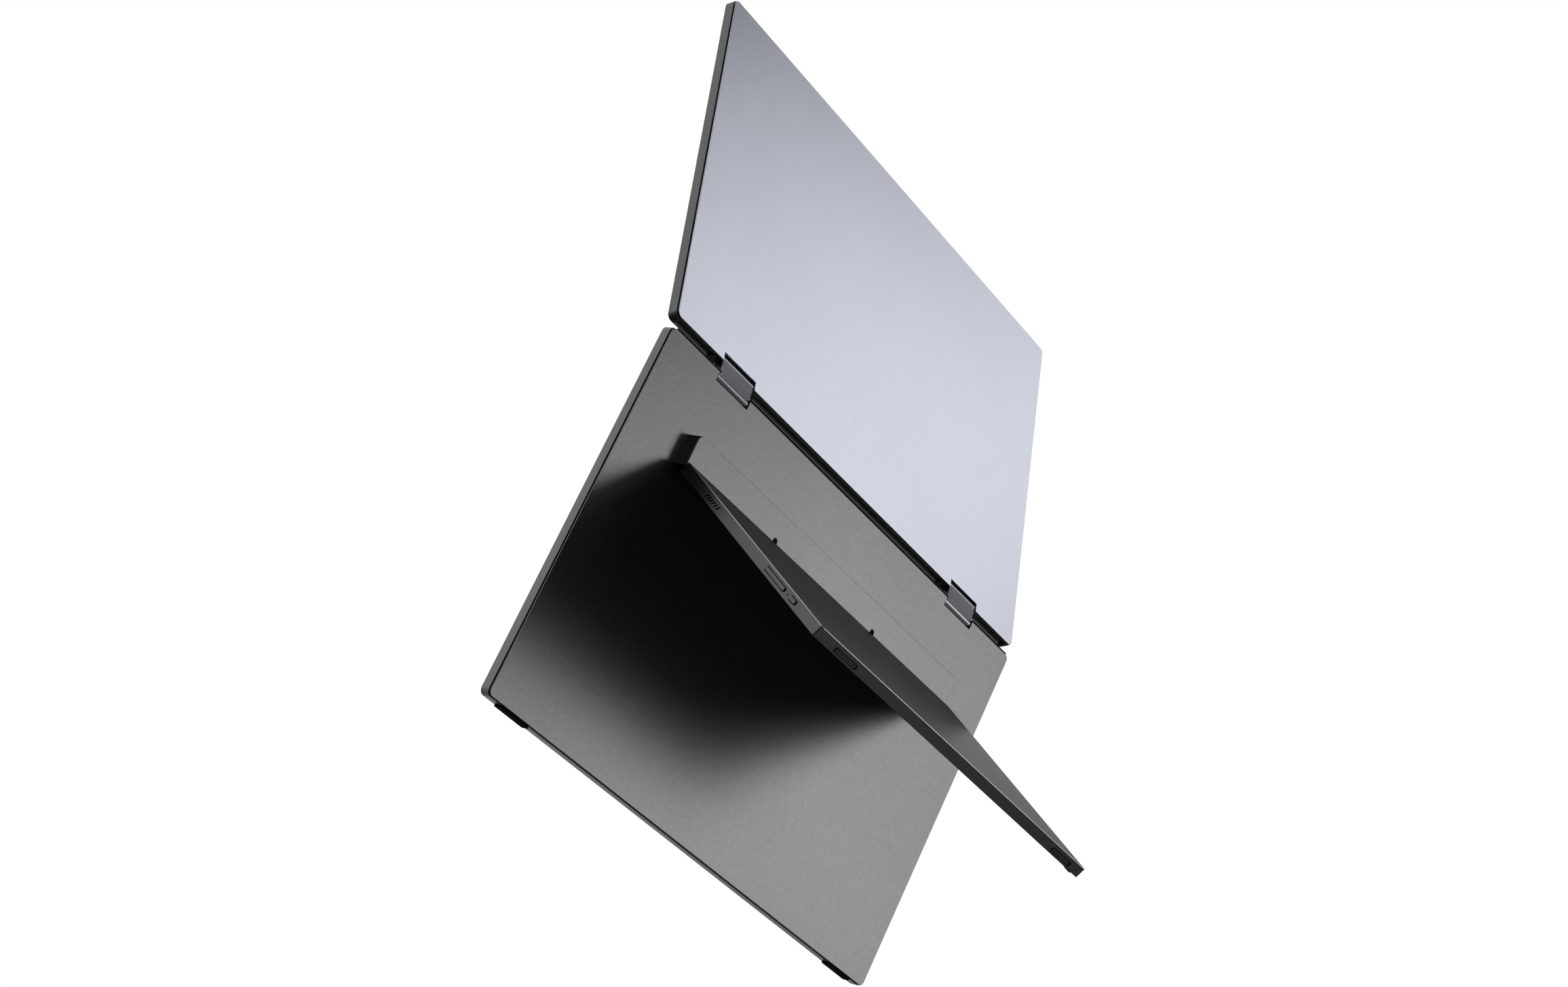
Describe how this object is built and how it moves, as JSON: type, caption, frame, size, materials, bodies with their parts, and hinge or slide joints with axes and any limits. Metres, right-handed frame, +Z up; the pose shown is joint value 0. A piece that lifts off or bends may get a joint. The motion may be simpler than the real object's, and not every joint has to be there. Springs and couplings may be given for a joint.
{
  "type": "portable monitor",
  "caption": "Two thin folding display panels joined by geared oblong hinge links, standing on rubber feet and a wide hinged easel stand that holds the electronics.",
  "frame": {"origin": "centre of the bounding box's bottom face, on the surface that the open easel stands on", "axes": "+Z up, screens face -Y, stand opens towards +Y, +X is to the right as seen from in front of the screens"},
  "size_m": [0.355, 0.1706, 0.4064],
  "materials": {
    "frame_metal": "anodised dark grey, fine matte",
    "back_metal": "bead-blasted matte grey with a fine grain",
    "upper_frame_metal": "anodised dark grey, fine matte",
    "upper_plate_metal": "smooth pale silver-blue with a bright cut edge",
    "stand_metal": "smooth satin dark grey",
    "cover_plastic": "fine matte black",
    "bezel_plastic": "fine matte black",
    "screen_glass": "dark anti-glare glass, screen off",
    "white_plastic": "white diffuser",
    "circuit_board": "green solder mask",
    "hinge_steel": "plain steel",
    "screw_steel": "nickel plated",
    "black_rubber": "matte black",
    "magnet_metal": "nickel plated",
    "ribbon_film": "amber film",
    "link_metal": "satin gunmetal",
    "gear_brass": "plain",
    "copper_sheet": "plain copper colour",
    "speaker_plastic": "black",
    "port_steel": "drawn steel",
    "light_plastic": "frosted clear",
    "key_metal": "satin gunmetal"
  },
  "bodies": {
    "lower_panel": {"lower_frame": "frame_metal", "lower_back_plate": "back_metal", "lower_bezel": "bezel_plastic", "lower_screen": "screen_glass", "lower_backlight": "white_plastic", "lower_driver_board": "circuit_board", "lower_hinge_brackets": "hinge_steel", "lower_bracket_screws": "screw_steel", "lower_hinge_shafts": "hinge_steel", "lower_feet": "black_rubber", "lower_closing_pads": "black_rubber", "lower_magnets": "magnet_metal", "spine_cover": "back_metal", "spine_screws": "screw_steel", "spine_plugs": "black_rubber", "stand_hinge_leaves": "hinge_steel", "stand_leaf_screws": "screw_steel", "stand_hinge_pins": "hinge_steel", "panel_ribbon": "ribbon_film"},
    "hinge_links": {"link_covers": "link_metal", "link_cores": "gear_brass", "idler_axles": "hinge_steel"},
    "first_idlers": {"first_idler_gears": "gear_brass"},
    "second_idlers": {"second_idler_gears": "gear_brass"},
    "upper_panel": {"upper_frame": "upper_frame_metal", "upper_back_plate": "upper_plate_metal", "upper_bezel": "bezel_plastic", "upper_screen": "screen_glass", "upper_backlight": "white_plastic", "upper_driver_board": "circuit_board", "upper_hinge_brackets": "hinge_steel", "upper_bracket_screws": "screw_steel", "upper_hinge_shafts": "hinge_steel", "upper_closing_pads": "black_rubber"},
    "stand": {"stand_shell": "stand_metal", "stand_cover": "cover_plastic", "stand_cover_screws": "screw_steel", "stand_hinge_arms": "hinge_steel", "stand_arm_screws": "screw_steel", "stand_bumpers": "black_rubber", "stand_edge_strips": "black_rubber", "stand_magnets": "magnet_metal", "main_board": "circuit_board", "heat_spreader": "copper_sheet", "left_speaker": "speaker_plastic", "right_speaker": "speaker_plastic", "usb_c_ports": "port_steel", "video_port": "port_steel", "audio_jack": "speaker_plastic", "key_board": "circuit_board", "status_light": "light_plastic", "stand_ribbon": "ribbon_film"},
    "volume_rocker": {"volume_rocker": "key_metal"},
    "power_key": {"power_key": "key_metal"}
  },
  "joints": [
    {"name": "link_fold", "type": "hinge", "parent": "lower_panel", "child": "hinge_links", "pos_m": [0, 0.02265, 0.18711], "axis": [1, 0, 0], "range_deg": [-10, 80]},
    {"name": "upper_fold", "type": "hinge", "parent": "hinge_links", "child": "upper_panel", "pos_m": [0, 0.02583, 0.19606], "axis": [1, 0, 0], "range_deg": [-10, 80]},
    {"name": "first_idler_turn", "type": "hinge", "parent": "hinge_links", "child": "first_idlers", "pos_m": [0, 0.02371, 0.19009], "axis": [1, 0, 0], "range_deg": [-10, 80]},
    {"name": "second_idler_turn", "type": "hinge", "parent": "hinge_links", "child": "second_idlers", "pos_m": [0, 0.02477, 0.19308], "axis": [1, 0, 0], "range_deg": [-80, 10]},
    {"name": "stand_fold", "type": "hinge", "parent": "lower_panel", "child": "stand", "pos_m": [0, 0.003, 0.13709], "axis": [1, 0, 0], "range_deg": [-60, 0]},
    {"name": "rocker_tilt", "type": "hinge", "parent": "stand", "child": "volume_rocker", "pos_m": [0.1322, 0.0589, 0.04189], "axis": [0, 0.8623, 0.5064], "range_deg": [-1.5, 1.5], "stiffness_Nm_per_rad": 0.3},
    {"name": "power_press", "type": "slide", "parent": "stand", "child": "power_key", "axis": [-1, 0, 0], "range_m": [0, 0.00035], "stiffness_N_per_m": 1500}
  ],
  "couplings": [
    {"joint": "upper_fold", "follows": "link_fold", "ratio": 1},
    {"joint": "first_idler_turn", "follows": "link_fold", "ratio": 1},
    {"joint": "second_idler_turn", "follows": "link_fold", "ratio": -1}
  ]
}
